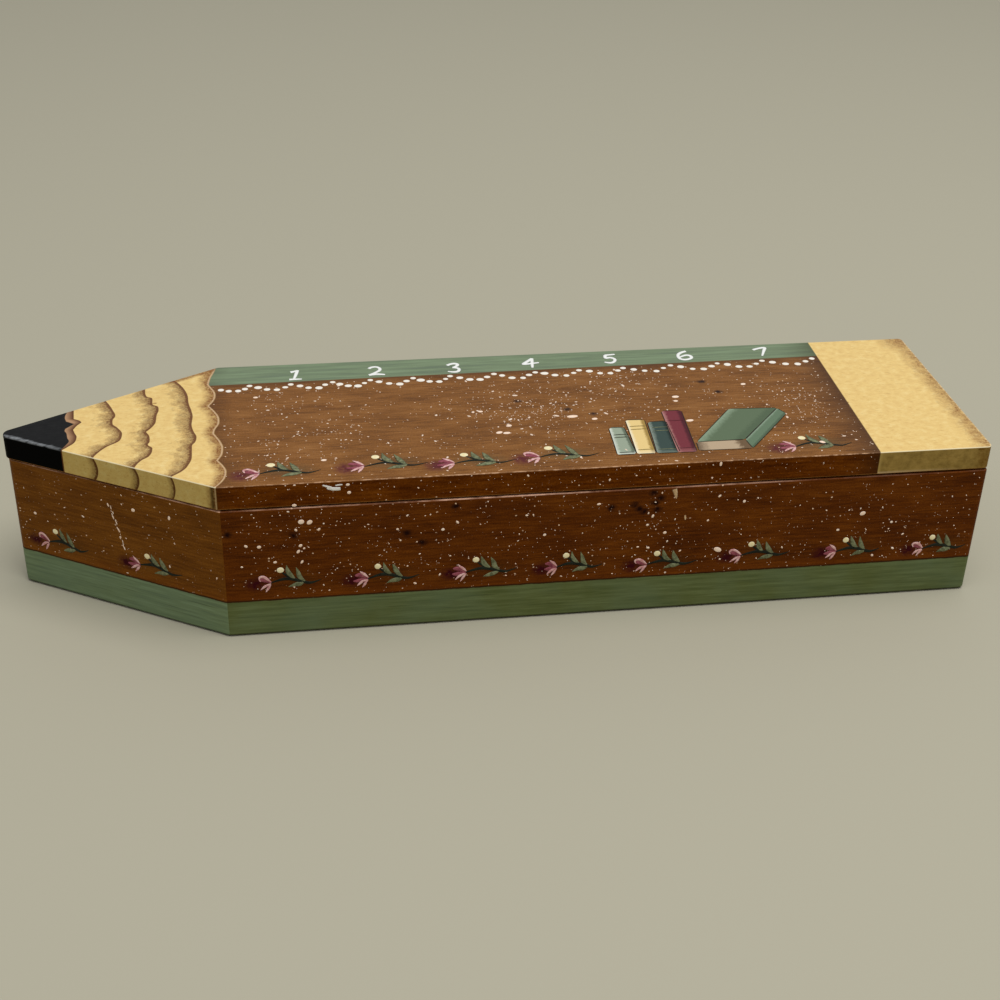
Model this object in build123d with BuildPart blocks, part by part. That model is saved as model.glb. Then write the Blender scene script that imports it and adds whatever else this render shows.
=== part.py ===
from build123d import *
import math
import os

# Pencil box: a five-sided wooden box in the outline of a short, wide pencil, with a flat hinged lid.
# Millimetres. The origin is the centre of the base, +Z is up, +X runs from the pencil's point to the
# square end, and the hinges are on the +Y side.

# Lid
lid_length = 291.4
lid_width = 76.0
lid_thickness = 7.6
lid_top_round = 0.4
lid_under_round = 0.4

# Pencil outline, shared by lid and box
nose_length = 64.5            # from the sharp point, before it is rounded, to the shoulders
nose_radius = 2.6
shoulder_radius = 2.0
end_corner_radius = 1.6

# Box
wall_thickness = 6.5
wall_height = 43.2
rim_round = 0.4
inner_rim_bevel = 0.5
base_round = 1.2
nose_overhang = 0.7           # how far the lid's point stands out past the box's
side_step = 0.3               # how far each long wall stands out past the lid
lid_gap = 0.5                 # between the closed lid and the rim

# Bottom panel in its rabbet
bottom_thickness = 3.2
rabbet_depth = 4.0
panel_clearance = 0.1

# Brads
brad_radius = 0.6
brad_head_radius = 1.0
brad_head_thickness = 0.5
brad_point = 1.5
corner_brad_length = 16.0
corner_brad_heights = (19.0, 33.0)
bottom_brad_length = 9.0
bottom_brad_spacing = 46.0
brad_clearance = 0.05

# Butt hinges
hinge_length = 25.0
hinge_inset = 46.0            # from the shoulder, and from the square end, to each hinge's middle
leaf_thickness = 0.8
leaf_gap = 0.2                # between the two leaves when the lid is closed
leaf_lip = 1.0                # wood left between the leaf's edge and the inside of the wall
leaf_corner_radius = 0.6
knuckle_count = 5
knuckle_gap = 0.15
pin_radius = 0.75
pin_running_clearance = 0.05
pin_head_radius = 1.15
pin_head_thickness = 0.35
barrel_standoff = 0.25        # between the barrel and the face of the back wall
mortise_clearance = 0.1

# Countersunk slotted screws of the hinges
screw_radius = 0.8
screw_head_radius = 1.6
screw_length = 6.5
screw_point = 1.8
screw_slot_width = 0.4
screw_slot_depth = 0.35
screw_end_distance = 4.5      # from each end of the leaf
screw_clearance = 0.05

# Outlines that follow from the sizes above
lid_half_width = lid_width / 2
lid_nose_angle = math.atan2(lid_half_width, nose_length)
nose_cut = nose_radius * (1 / math.sin(lid_nose_angle) - 1)
lid_apex_x = -lid_length / 2 - nose_cut
lid_end_x = lid_length / 2

box_half_width = lid_half_width + side_step
box_nose_angle = math.atan2(box_half_width, nose_length)
box_apex_x = lid_apex_x + nose_overhang
box_shoulder_x = box_apex_x + nose_length
box_end_x = lid_end_x

# Heights
lid_underside = wall_height + lid_gap
hinge_z = lid_underside - leaf_thickness - leaf_gap / 2
box_leaf_z = hinge_z - leaf_gap / 2 - leaf_thickness
lid_leaf_z = hinge_z + leaf_gap / 2

# Hinges
barrel_radius = pin_radius + pin_running_clearance + leaf_thickness
hinge_y = box_half_width + barrel_standoff + barrel_radius
leaf_depth = wall_thickness - leaf_lip
hinge_centres = {
    "left": box_shoulder_x + hinge_inset,
    "right": box_end_x - hinge_inset,
}
screw_head_height = screw_head_radius - screw_radius
screw_offset = hinge_length / 2 - screw_end_distance
screw_y = box_half_width - leaf_depth / 2


def apex_point(inset):
    """The box's point at this distance inside its outer faces."""
    return (box_apex_x + inset / math.sin(box_nose_angle), 0)


def shoulder_point(inset, side):
    """A shoulder of the box at this distance inside its outer faces. side is -1 in front, 1 behind."""
    x = box_shoulder_x + inset * math.tan(box_nose_angle / 2)
    return (x, side * (box_half_width - inset))


def end_point(inset, side):
    """A corner of the square end at this distance inside the outer faces."""
    return (box_end_x - inset, side * (box_half_width - inset))


def box_corners(inset):
    """The five corners of the box's outline, moved inwards by inset, round from the point."""
    return [
        apex_point(inset),
        shoulder_point(inset, -1),
        end_point(inset, -1),
        end_point(inset, 1),
        shoulder_point(inset, 1),
    ]


def closed_face(points):
    """A flat face inside straight lines through these points."""
    with BuildSketch() as face:
        with BuildLine():
            Polyline(*points, close=True)
        make_face()
    return face.sketch


def pencil_face(apex_x, end_x, half_width):
    """The pencil outline with its point, shoulders and square end rounded."""
    shoulder_x = apex_x + nose_length
    with BuildSketch() as face:
        with BuildLine():
            Polyline(
                (apex_x, 0),
                (shoulder_x, -half_width),
                (end_x, -half_width),
                (end_x, half_width),
                (shoulder_x, half_width),
                close=True,
            )
        make_face()
        fillet(face.vertices().sort_by(Axis.X)[-2:], end_corner_radius)
        fillet(face.vertices().sort_by(Axis.X)[1:3], shoulder_radius)
        fillet(face.vertices().sort_by(Axis.X)[0], nose_radius)
    return face.sketch


def brad_body(length, gap):
    """A round brad, or its hole when gap is over 0. The head's top is at z = 0 and the point is below."""
    with BuildPart() as body:
        with BuildSketch(Plane.XZ):
            with BuildLine():
                Polyline(
                    (0, gap),
                    (brad_head_radius + gap, gap),
                    (brad_head_radius + gap, -brad_head_thickness - gap),
                    (brad_radius + gap, -brad_head_thickness - gap),
                    (brad_radius + gap, -length + brad_point),
                    (0, -length - gap),
                    close=True,
                )
            make_face()
        revolve(axis=Axis.Z)
    return body.part


def screw_body(gap):
    """A countersunk screw, or its hole when gap is over 0. The head's top is at z = 0, the point below."""
    with BuildPart() as body:
        with BuildSketch(Plane.XZ):
            with BuildLine():
                Polyline(
                    (0, gap),
                    (screw_head_radius + gap, gap),
                    (screw_radius + gap, gap - screw_head_height),
                    (screw_radius + gap, -screw_length + screw_point),
                    (0, -screw_length - gap),
                    close=True,
                )
            make_face()
        revolve(axis=Axis.Z)
    return body.part


def slotted_screw():
    """The countersunk screw itself, with the slot across its head."""
    blank = screw_body(0)
    with BuildPart() as body:
        add(blank)
        with BuildSketch(Plane.XY):
            Rectangle(3 * screw_head_radius, screw_slot_width)
        extrude(amount=-screw_slot_depth, mode=Mode.SUBTRACT)
    return body.part


def bottom_brad_points():
    """Where the brads go round the bottom panel, halfway across the rabbet."""
    corners = box_corners(wall_thickness - rabbet_depth / 2)
    points = []
    for start, finish in zip(corners, corners[1:] + corners[:1]):
        run = math.dist(start, finish)
        count = max(2, round(run / bottom_brad_spacing))
        for i in range(count):
            share = (i + 0.5) / count
            x = start[0] + share * (finish[0] - start[0])
            y = start[1] + share * (finish[1] - start[1])
            points.append((x, y))
    return points


def save(piece, name):
    """Labels a finished piece and writes it."""
    piece.part.label = name
    export_step(piece.part, f"parts/{name}.step")


os.makedirs("parts", exist_ok=True)

box_face = pencil_face(box_apex_x, box_end_x, box_half_width)
cavity_face = closed_face(box_corners(wall_thickness))
rabbet_face = closed_face(box_corners(wall_thickness - rabbet_depth))
panel_face = closed_face(box_corners(wall_thickness - rabbet_depth + panel_clearance))
lid_face = pencil_face(lid_apex_x, lid_end_x, lid_half_width)

# Brad places: two at each corner of the square end, driven in from the long walls' faces
corner_brad_x = box_end_x - wall_thickness / 2
corner_brad_places = []
for height in corner_brad_heights:
    corner_brad_places.append(Location((corner_brad_x, -box_half_width, height), (90, 0, 0)))
    corner_brad_places.append(Location((corner_brad_x, box_half_width, height), (-90, 0, 0)))
bottom_brad_places = [Location((x, y, 0), (180, 0, 0)) for x, y in bottom_brad_points()]

# Screw places: two through each leaf, downwards in the box and upwards in the lid
box_screw_places = []
lid_screw_places = []
for centre in hinge_centres.values():
    for offset in (-screw_offset, screw_offset):
        box_screw_places.append(Location((centre + offset, screw_y, box_leaf_z + leaf_thickness)))
        lid_screw_places.append(Location((centre + offset, screw_y, lid_leaf_z), (180, 0, 0)))

corner_brad = brad_body(corner_brad_length, 0)
corner_brad_hole = brad_body(corner_brad_length, brad_clearance)
bottom_brad = brad_body(bottom_brad_length, 0)
bottom_brad_hole = brad_body(bottom_brad_length, brad_clearance)
screw = slotted_screw()
screw_hole = screw_body(screw_clearance)

# The five walls in one ring, with every cut that crosses them, before the ring is parted at its joints
with BuildPart() as ring:
    with BuildSketch():
        add(box_face)
    extrude(amount=wall_height)
    fillet(ring.edges().group_by(Axis.Z)[-1], rim_round)
    fillet(ring.edges().group_by(Axis.Z)[0], base_round)
    with BuildSketch():
        add(cavity_face)
    extrude(amount=wall_height, mode=Mode.SUBTRACT)
    with BuildSketch(Plane.XY.offset(wall_height - inner_rim_bevel)):
        add(cavity_face)
    extrude(amount=inner_rim_bevel, taper=-45, mode=Mode.SUBTRACT)
    with BuildSketch():
        add(rabbet_face)
    extrude(amount=bottom_thickness, mode=Mode.SUBTRACT)
    with BuildSketch(Plane.XY.offset(box_leaf_z)):
        with Locations(*[(centre, box_half_width - leaf_depth / 2) for centre in hinge_centres.values()]):
            Rectangle(hinge_length + 2 * mortise_clearance, leaf_depth + 2 * mortise_clearance)
    extrude(amount=wall_height, mode=Mode.SUBTRACT)
    with Locations(*corner_brad_places):
        add(corner_brad_hole, mode=Mode.SUBTRACT)
    with Locations(*bottom_brad_places):
        add(bottom_brad_hole, mode=Mode.SUBTRACT)
    with Locations(*box_screw_places):
        add(screw_hole, mode=Mode.SUBTRACT)

# Plan of each wall: the nose walls meet the long walls and each other in mitres, and the end wall
# stands between the long walls
past = wall_thickness
wall_plans = {
    "end_wall": [
        (box_end_x - wall_thickness, -box_half_width + wall_thickness),
        (box_end_x + past, -box_half_width + wall_thickness),
        (box_end_x + past, box_half_width - wall_thickness),
        (box_end_x - wall_thickness, box_half_width - wall_thickness),
    ],
}
for name, side in (("front", -1), ("back", 1)):
    wall_plans[f"{name}_wall"] = [
        shoulder_point(-past, side),
        (box_end_x + past, side * (box_half_width + past)),
        (box_end_x + past, side * (box_half_width - wall_thickness)),
        shoulder_point(wall_thickness, side),
    ]
    wall_plans[f"nose_{name}_wall"] = [
        apex_point(-past),
        shoulder_point(-past, side),
        shoulder_point(wall_thickness, side),
        apex_point(wall_thickness),
    ]

for name, plan in wall_plans.items():
    plan_face = closed_face(plan)
    with BuildPart() as wall:
        add(ring.part)
        with BuildSketch():
            add(plan_face)
        extrude(amount=wall_height, mode=Mode.INTERSECT)
    save(wall, name)

# Bottom panel, flush with the walls' lower edges
with BuildPart() as bottom_panel:
    with BuildSketch():
        add(panel_face)
    extrude(amount=bottom_thickness)
    with Locations(*bottom_brad_places):
        add(bottom_brad_hole, mode=Mode.SUBTRACT)
save(bottom_panel, "bottom_panel")

with BuildPart() as corner_brads:
    with Locations(*corner_brad_places):
        add(corner_brad)
save(corner_brads, "corner_brads")

with BuildPart() as bottom_brads:
    with Locations(*bottom_brad_places):
        add(bottom_brad)
save(bottom_brads, "bottom_brads")

# Lid board, with the pilot holes of its hinge screws
with BuildPart() as lid_board:
    with BuildSketch(Plane.XY.offset(lid_underside)):
        add(lid_face)
    extrude(amount=lid_thickness)
    fillet(lid_board.edges().group_by(Axis.Z)[-1], lid_top_round)
    fillet(lid_board.edges().group_by(Axis.Z)[0], lid_under_round)
    with Locations(*lid_screw_places):
        add(screw_hole, mode=Mode.SUBTRACT)
save(lid_board, "lid_board")

# Hinges. The knuckles share the barrel's length: the even ones are the box leaf's, the odd ones the lid's
knuckle_pitch = hinge_length / knuckle_count
knuckle_length = knuckle_pitch - knuckle_gap
leaves = {
    "box": (box_leaf_z, 0, box_screw_places),
    "lid": (lid_leaf_z, 1, lid_screw_places),
}
for hand, centre in hinge_centres.items():
    for body, (leaf_z, first_knuckle, screw_places) in leaves.items():
        knuckle_starts = [
            centre - hinge_length / 2 + i * knuckle_pitch + knuckle_gap / 2
            for i in range(first_knuckle, knuckle_count, 2)
        ]
        with BuildPart() as leaf:
            with BuildSketch(Plane.XY.offset(leaf_z)) as plate:
                with Locations((centre, box_half_width - leaf_depth / 2)):
                    Rectangle(hinge_length, leaf_depth)
                fillet(plate.vertices().group_by(Axis.Y)[0], leaf_corner_radius)
                for start in knuckle_starts:
                    with Locations((start, box_half_width - leaf_thickness)):
                        Rectangle(
                            knuckle_length,
                            hinge_y - box_half_width + leaf_thickness,
                            align=(Align.MIN, Align.MIN),
                        )
            extrude(amount=leaf_thickness)
            for start in knuckle_starts:
                with BuildSketch(Plane.YZ.offset(start)):
                    with Locations((hinge_y, hinge_z)):
                        Circle(barrel_radius)
                extrude(amount=knuckle_length)
            with BuildSketch(Plane.YZ.offset(centre - hinge_length)):
                with Locations((hinge_y, hinge_z)):
                    Circle(pin_radius + pin_running_clearance)
            extrude(amount=2 * hinge_length, mode=Mode.SUBTRACT)
            with Locations(*screw_places):
                add(screw_hole, mode=Mode.SUBTRACT)
        save(leaf, f"{hand}_{body}_leaf")

    pin_end = hinge_length / 2 + pin_running_clearance
    with BuildPart() as hinge_pin:
        with BuildSketch(Plane.YZ.offset(centre - pin_end)):
            with Locations((hinge_y, hinge_z)):
                Circle(pin_radius)
        extrude(amount=2 * pin_end)
        for head_start, head_depth in (
            (centre - pin_end, -pin_head_thickness),
            (centre + pin_end, pin_head_thickness),
        ):
            with BuildSketch(Plane.YZ.offset(head_start)):
                with Locations((hinge_y, hinge_z)):
                    Circle(pin_head_radius)
            extrude(amount=head_depth)
    save(hinge_pin, f"{hand}_hinge_pin")

with BuildPart() as box_leaf_screws:
    with Locations(*box_screw_places):
        add(screw)
save(box_leaf_screws, "box_leaf_screws")

with BuildPart() as lid_leaf_screws:
    with Locations(*lid_screw_places):
        add(screw)
save(lid_leaf_screws, "lid_leaf_screws")
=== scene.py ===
import math
import random

import bmesh
import bpy
from mathutils import Matrix, Vector


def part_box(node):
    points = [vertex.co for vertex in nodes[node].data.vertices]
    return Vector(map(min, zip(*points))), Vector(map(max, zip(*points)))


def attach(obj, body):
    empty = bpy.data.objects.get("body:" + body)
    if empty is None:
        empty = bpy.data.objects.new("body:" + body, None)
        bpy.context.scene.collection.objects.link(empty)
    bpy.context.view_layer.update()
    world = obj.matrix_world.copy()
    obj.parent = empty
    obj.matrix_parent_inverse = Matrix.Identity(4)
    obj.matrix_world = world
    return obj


# Pencil box, stained and painted by hand: the wood, brass and steel of every CAD piece, and the paint
# that stands on the wood as pieces of its own. Sizes here are millimetres unless a name says otherwise.

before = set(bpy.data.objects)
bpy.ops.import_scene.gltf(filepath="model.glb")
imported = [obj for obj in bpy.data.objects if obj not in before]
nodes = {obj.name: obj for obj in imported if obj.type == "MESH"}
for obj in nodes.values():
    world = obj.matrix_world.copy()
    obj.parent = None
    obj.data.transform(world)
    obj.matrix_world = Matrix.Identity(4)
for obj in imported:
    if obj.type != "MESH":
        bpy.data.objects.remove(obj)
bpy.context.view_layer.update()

MM = 0.001


def millimetres(node):
    """Lowest and highest corner of a CAD node, in millimetres."""
    low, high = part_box(node)
    return low / MM, high / MM


# Sizes read from the frame
lid_low, lid_high = millimetres("lid_board")
wall_low, wall_high = millimetres("front_wall")
LID_TOP = lid_high.z
LID_THICKNESS = lid_high.z - lid_low.z
LID_HALF = lid_high.y
WALL_TOP = wall_high.z
WALL_HALF = -wall_low.y
box_end = wall_high.x
box_shoulder = wall_low.x

# Sizes of the pencil outline that the frame's boxes don't give
NOSE_LENGTH = 64.5
NOSE_OVERHANG = 0.7
WALL_THICKNESS = 6.5
lid_shoulder = box_shoulder - NOSE_OVERHANG
box_nose_angle = math.atan2(WALL_HALF, NOSE_LENGTH)
lid_nose_angle = math.atan2(LID_HALF, NOSE_LENGTH)
facet_length = math.hypot(NOSE_LENGTH, WALL_HALF)

# The painted work is measured along the box from a line this far left of the lid's square end
ZERO_TO_END = 145.25
zero = lid_high.x - ZERO_TO_END
shoulder = lid_shoulder - zero


# Faces of the object

def face_matrix(origin, along, up):
    """Where flat work drawn in millimetres goes: x along a face, y up it and z outwards from it."""
    u = Vector(along).normalized()
    v = Vector(up).normalized()
    turn = Matrix((u, v, u.cross(v))).transposed().to_4x4()
    return Matrix.Translation(Vector(origin) * MM) @ turn @ Matrix.Scale(MM, 4)


nose_cos = math.cos(box_nose_angle)
nose_sin = math.sin(box_nose_angle)
UP = (0, 0, 1)
FACES = {
    "lid_top": ("lid", face_matrix((zero, 0, LID_TOP), (1, 0, 0), (0, 1, 0))),
    "lid_front": ("lid", face_matrix((zero, -LID_HALF, LID_TOP), (1, 0, 0), UP)),
    "lid_back": ("lid", face_matrix((zero, LID_HALF, LID_TOP), (-1, 0, 0), UP)),
    "front": ("box", face_matrix((zero, -WALL_HALF, 0), (1, 0, 0), UP)),
    "back": ("box", face_matrix((zero, WALL_HALF, 0), (-1, 0, 0), UP)),
    "end": ("box", face_matrix((box_end, 0, 0), (0, 1, 0), UP)),
    "nose_front": ("box", face_matrix((box_shoulder, -WALL_HALF, 0), (nose_cos, -nose_sin, 0), UP)),
    "nose_back": ("box", face_matrix((box_shoulder, WALL_HALF, 0), (-nose_cos, -nose_sin, 0), UP)),
}

# Where each painted sprig's petals meet its stem, along and up its face
SPRIGS = {
    "lid_top": ((-72.2, -31.8), (-42.3, -30.6), (-16.5, -31.6), (8.7, -30.5), (85.6, -32.0)),
    "front": (
        (-70.5, 18.3), (-42.4, 17.7), (-13.4, 17.8), (13.9, 17.6),
        (41.4, 16.6), (70.6, 17.8), (100.7, 17.1), (128.6, 16.4),
    ),
    "nose_front": ((-61.5, 17.2), (-29.3, 17.6)),
    "nose_back": ((12.5, 17.4), (45.0, 17.9)),
    "back": (
        (-131.0, 17.6), (-103.5, 18.0), (-76.5, 17.2), (-49.0, 17.7),
        (-21.5, 17.4), (5.5, 17.9), (33.0, 17.3), (60.5, 17.8),
    ),
    "end": ((-22.0, 17.6), (6.5, 17.3)),
}

# Height of the green band on the walls, and edges of the painted fields on the lid
WALL_BAND = 12.2
BAND_MIDDLE = 26.1            # how far up the lid the green band starts, at the middle of its length
BAND_SLOPE = 0.0113
END_LINE = 111.15             # how far along the lid the cream end starts, at the middle of its width
END_SLOPE = 0.0276


# Colours and nodes

MATH = "ShaderNodeMath"
VECTOR_MATH = "ShaderNodeVectorMath"
RANGE = "ShaderNodeMapRange"  # takes a value, the two ends that it comes from and the two it goes to
MIX = "ShaderNodeMix"
NOISE = "ShaderNodeTexNoise"
MAPPING = "ShaderNodeMapping"
RAMP = "ShaderNodeValToRGB"
CURVE = "ShaderNodeFloatCurve"
SPLIT = "ShaderNodeSeparateXYZ"


def colour(code):
    """An sRGB hex colour as the linear values that a shader takes."""
    shares = [int(code[i:i + 2], 16) / 255 for i in (1, 3, 5)]
    linear = [s / 12.92 if s <= 0.04045 else ((s + 0.055) / 1.055) ** 2.4 for s in shares]
    return (*linear, 1.0)


def wire(tree, node, inputs):
    """Sets a node's inputs, given by name or in their order.

    Each takes a value, a hex colour, a socket, or a node, whose first socket in use is linked.
    """
    if not isinstance(inputs, dict):
        inputs = dict(enumerate(inputs))
    for name, value in inputs.items():
        if isinstance(name, int):
            socket = node.inputs[name]
        else:
            socket = next(s for s in node.inputs if s.enabled and s.name == name)
        if isinstance(value, bpy.types.Node):
            value = next(s for s in value.outputs if s.enabled)
        if isinstance(value, bpy.types.NodeSocket):
            tree.links.new(value, socket)
        else:
            socket.default_value = colour(value) if isinstance(value, str) else value


def add(tree, kind, inputs=(), stops=None, line=None, **settings):
    """Adds a node with its settings and inputs.

    stops are a colour ramp's places and colours. line is a hand-drawn curve: its points in millimetres,
    with a third value of True where the line has a sharp corner.
    """
    node = tree.nodes.new(kind)
    for name, value in settings.items():
        setattr(node, name, value)
    if stops:
        elements = node.color_ramp.elements
        elements.remove(elements[1])
        elements[0].position = stops[0][0]
        elements[0].color = colour(stops[0][1])
        for place, code in stops[1:]:
            elements.new(place).color = colour(code)
    if line:
        mapping = node.mapping
        mapping.extend = "HORIZONTAL"
        mapping.use_clip = False
        points = mapping.curves[0].points
        ordered = sorted(line)
        points[0].location = ordered[0][:2]
        points[1].location = ordered[-1][:2]
        for point in ordered[1:-1]:
            points.new(*point[:2])
        for point, drawn in zip(points, ordered):
            point.handle_type = "VECTOR" if len(drawn) > 2 else "AUTO_CLAMPED"
        mapping.update()
    wire(tree, node, inputs)
    return node


def new_material(name):
    """An empty material, its tree and its shader."""
    material = bpy.data.materials.new(name)
    material.use_nodes = True
    return material, material.node_tree, material.node_tree.nodes["Principled BSDF"]


def surface(tree, shader, look, relief=None, depth=0.0):
    """Gives a shader its colour and gloss, and a relief between 0 and 1, so many millimetres deep."""
    wire(tree, shader, look)
    if relief:
        bump = add(tree, "ShaderNodeBump", {"Height": relief, "Strength": 1.0, "Distance": depth * MM})
        wire(tree, shader, {"Normal": bump})


def on_face(tree, name):
    """Place on a face in millimetres: x along it, y up it and z outwards from it."""
    location, turn, scale = FACES[name][1].decompose()
    place = add(tree, "ShaderNodeTexCoord").outputs["Object"]
    inputs = {"Vector": place, "Location": location, "Rotation": turn.to_euler(), "Scale": scale}
    return add(tree, MAPPING, inputs, vector_type="TEXTURE")


def over(tree, ground, paint, *masks):
    """Lays a colour over the ground where all its masks meet. A mask may be a plain share."""
    mask, *others = masks
    for other in others:
        mask = add(tree, MATH, (mask, other), operation="MULTIPLY")
    return add(tree, MIX, {"Factor": mask, "A": ground, "B": paint}, data_type="RGBA")


def near_line(tree, place, middle, solid, soft, strength=1.0):
    """A line as a mask: full up to so far from its middle, and none past where it turns soft."""
    aside = add(tree, MATH, (place, middle), operation="SUBTRACT")
    away = add(tree, MATH, (aside,), operation="ABSOLUTE")
    return add(tree, RANGE, (away, soft, solid, 0.0, strength))


def past_line(tree, along, across, drawn):
    """How far a place is past a hand-drawn line, towards the square end."""
    curve = add(tree, CURVE, {"Value": across}, line=drawn)
    return add(tree, MATH, (along, curve), operation="SUBTRACT")


def streaks(tree, here, length, width, detail=4.0):
    """Noise in streaks along the face, each about so long and wide in millimetres."""
    size = (length, width, width)
    drawn_out = add(tree, MAPPING, {"Vector": here, "Scale": size}, vector_type="TEXTURE")
    return add(tree, NOISE, {"Vector": drawn_out, "Scale": 1.0, "Detail": detail, "Roughness": 0.6})


def flung_drops(tree, here, spacing, largest, share, length=1.0):
    """Drops flung from a brush, as a mask: at most one to a cell, in so large a share of the cells."""
    size = (length, 1.0, 1.0)
    soft_edge = 0.12
    drawn_out = add(tree, MAPPING, {"Vector": here, "Scale": size}, vector_type="TEXTURE")
    wander = add(tree, NOISE, {"Vector": here, "Scale": 1.6, "Detail": 1.0}).outputs["Color"]
    shifted = add(tree, VECTOR_MATH, (wander, (0.5, 0.5, 0.5), drawn_out), operation="MULTIPLY_ADD")
    cells = add(tree, "ShaderNodeTexVoronoi", {"Vector": shifted, "Scale": 1 / spacing})
    chance = add(tree, "ShaderNodeSeparateColor", (cells.outputs["Color"],))
    radius = add(tree, RANGE, (chance, 1 - share, 1.0, 0.0, largest / spacing))
    inside = add(tree, MATH, (radius, cells.outputs["Distance"]), operation="SUBTRACT")
    return add(tree, RANGE, (inside, 0.0, soft_edge / spacing))


def patches(tree, here, centres, size):
    """Soft round patches of colour on a face, as a mask: full in the middle and none at their size."""
    rough = add(tree, NOISE, {"Vector": here, "Scale": 0.8, "Detail": 3.0})
    found = None
    for centre in centres:
        inputs = {"Vector": here, "Location": (*centre, 0), "Scale": (*size, 4.0)}
        local = add(tree, MAPPING, inputs, vector_type="TEXTURE")
        patch = add(tree, "ShaderNodeTexGradient", (local,), gradient_type="SPHERICAL").outputs["Fac"]
        found = add(tree, MATH, (found, patch), operation="MAXIMUM") if found else patch
    broken = add(tree, MATH, (found, rough), operation="MULTIPLY")
    return add(tree, RANGE, (broken, 0.04, 0.42))


def beside_sprigs(tree, here, face, shift, size):
    """Soft patches so far from the place where each sprig's petals meet its stem, as a mask."""
    return patches(tree, here, [(u + shift[0], v + shift[1]) for u, v in SPRIGS[face]], size)


def stain(tree, here, shades):
    """Wood stain wiped along the grain: cloudy, streaked and finely speckled between its shades."""
    clouds = streaks(tree, here, length=22.0, width=7.0, detail=5.0)
    lines = streaks(tree, here, length=9.0, width=0.7)
    speckle = add(tree, NOISE, {"Vector": here, "Scale": 2.2, "Detail": 3.0, "Roughness": 0.9})
    ground = add(tree, MIX, {"Factor": 0.5, "A": clouds, "B": lines})
    ground = add(tree, MIX, {"Factor": 0.36, "A": ground, "B": speckle})
    tone = add(tree, RAMP, {"Fac": ground}, stops=tuple(zip((0.38, 0.5, 0.62), shades)))
    return tone, lines


def spotted(tree, here, ground, face):
    """Dark spots in the stain, where the photograph shows them and a few anywhere, under fine spatter.

    The spatter is too fine to stand out from the wood: pinpoint drops of two sizes, thicker in places.
    """
    anywhere = flung_drops(tree, here, spacing=10.0, largest=0.8, share=0.25, length=1.6)
    ground = over(tree, ground, FLYSPECK, anywhere, 0.6)
    if face in DARK_SPOTS:
        ground = over(tree, ground, FLYSPECK, patches(tree, here, DARK_SPOTS[face], (2.1, 1.7)))
    clumps = add(tree, NOISE, {"Vector": here, "Scale": 0.07, "Detail": 3.0})
    thick = add(tree, RANGE, (clumps, 0.4, 0.6, 0.4))
    fine = flung_drops(tree, here, spacing=1.5, largest=0.28, share=0.65, length=1.2)
    finest = flung_drops(tree, here, spacing=0.9, largest=0.17, share=0.6)
    finest = add(tree, MATH, (finest, 0.55), operation="MULTIPLY")
    drops = add(tree, MATH, (fine, finest), operation="MAXIMUM")
    drops = add(tree, MATH, (drops, thick), operation="MULTIPLY")
    return over(tree, ground, SPATTER, drops), drops


# Paint and stain colours
LID_STAIN = ("#57320f", "#82521f", "#9e6c38")
# The front and nose stains and the walls' greens are darker copies of the lid top's colours: painted shade
# for the upright faces. The lid's edge takes the front stain too.
SHADED_FRONT_STAIN = ("#3c1600", "#5c2b01", "#784009")
SHADED_NOSE_STAIN = ("#532c05", "#70410c", "#8a5618")
INNER_STAIN = ("#8a5a2a", "#a4713a", "#b98548")
SPATTER = "#ffdcb8"
FLYSPECK = "#1e0502"
LID_GREENS = ((0.34, "#6b7a62"), (0.5, "#778768"), (0.66, "#829574"))
SHADED_WALL_GREENS = ((0.34, "#565f34"), (0.5, "#61693d"), (0.66, "#6b7548"))
SHADED_NOSE_GREENS = ((0.34, "#68785a"), (0.5, "#748560"), (0.66, "#7f926e"))
HAZY_GREEN = "#6a806a"
CREAMS = ((0.3, "#e6c078"), (0.5, "#f0cd82"), (0.7, "#f7da94"))
BURNT = "#7c400e"

# Edges between the lid's fields and the lines of its shaved wood, as (across, along) in millimetres
SCALLOPS = (
    (38.0, -84.6), (35.2, -85.1), (30.3, -86.3), (26.0, -86.8, True), (18.3, -84.6), (14.8, -85.1),
    (11.4, -86.5, True), (7.1, -84.5), (3.4, -83.4), (0.6, -83.3), (-4.4, -84.6), (-6.4, -84.8, True),
    (-12.8, -82.5), (-15.5, -82.1), (-19.3, -82.3), (-22.8, -83.5, True), (-26.2, -81.9),
    (-29.4, -81.1), (-33.1, -81.5), (-36.6, -83.1), (-38.0, -84.1),
)
SHAVINGS = (
    (
        (19.0, -118.4), (17.7, -117.7), (11.3, -115.2), (7.5, -114.3), (5.0, -114.9), (2.4, -114.7),
        (0.1, -113.2), (-4.3, -111.6), (-7.8, -112.0), (-11.6, -115.7), (-15.4, -118.1), (-19.0, -119.6),
    ),
    (
        (25.5, -106.4), (19.5, -105.5), (18.4, -103.9), (14.0, -103.5), (12.6, -101.9), (10.0, -101.6),
        (7.1, -102.0), (2.0, -102.2), (-0.8, -103.2), (-3.4, -104.7, True), (-6.3, -103.6),
        (-9.6, -103.4), (-11.2, -103.8), (-13.7, -102.4), (-18.1, -103.1), (-20.8, -105.4), (-25.5, -107.4),
    ),
    (
        (31.0, -98.4), (26.8, -95.7), (19.8, -93.3), (13.8, -92.7), (8.4, -91.7), (4.8, -91.3),
        (0.3, -91.5), (-4.2, -90.9), (-8.2, -89.9), (-11.0, -90.2), (-13.3, -91.1), (-20.0, -91.0),
        (-24.0, -91.7), (-27.3, -93.1), (-31.5, -97.2),
    ),
)
BLACK_EDGE = (
    (13.0, -128.4), (8.5, -129.1), (5.6, -128.5, True), (3.8, -126.0, True), (0.9, -128.3, True),
    (-0.2, -128.4), (-1.7, -127.8), (-4.9, -127.2), (-7.0, -126.6), (-9.0, -127.2), (-13.0, -129.0),
)
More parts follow.
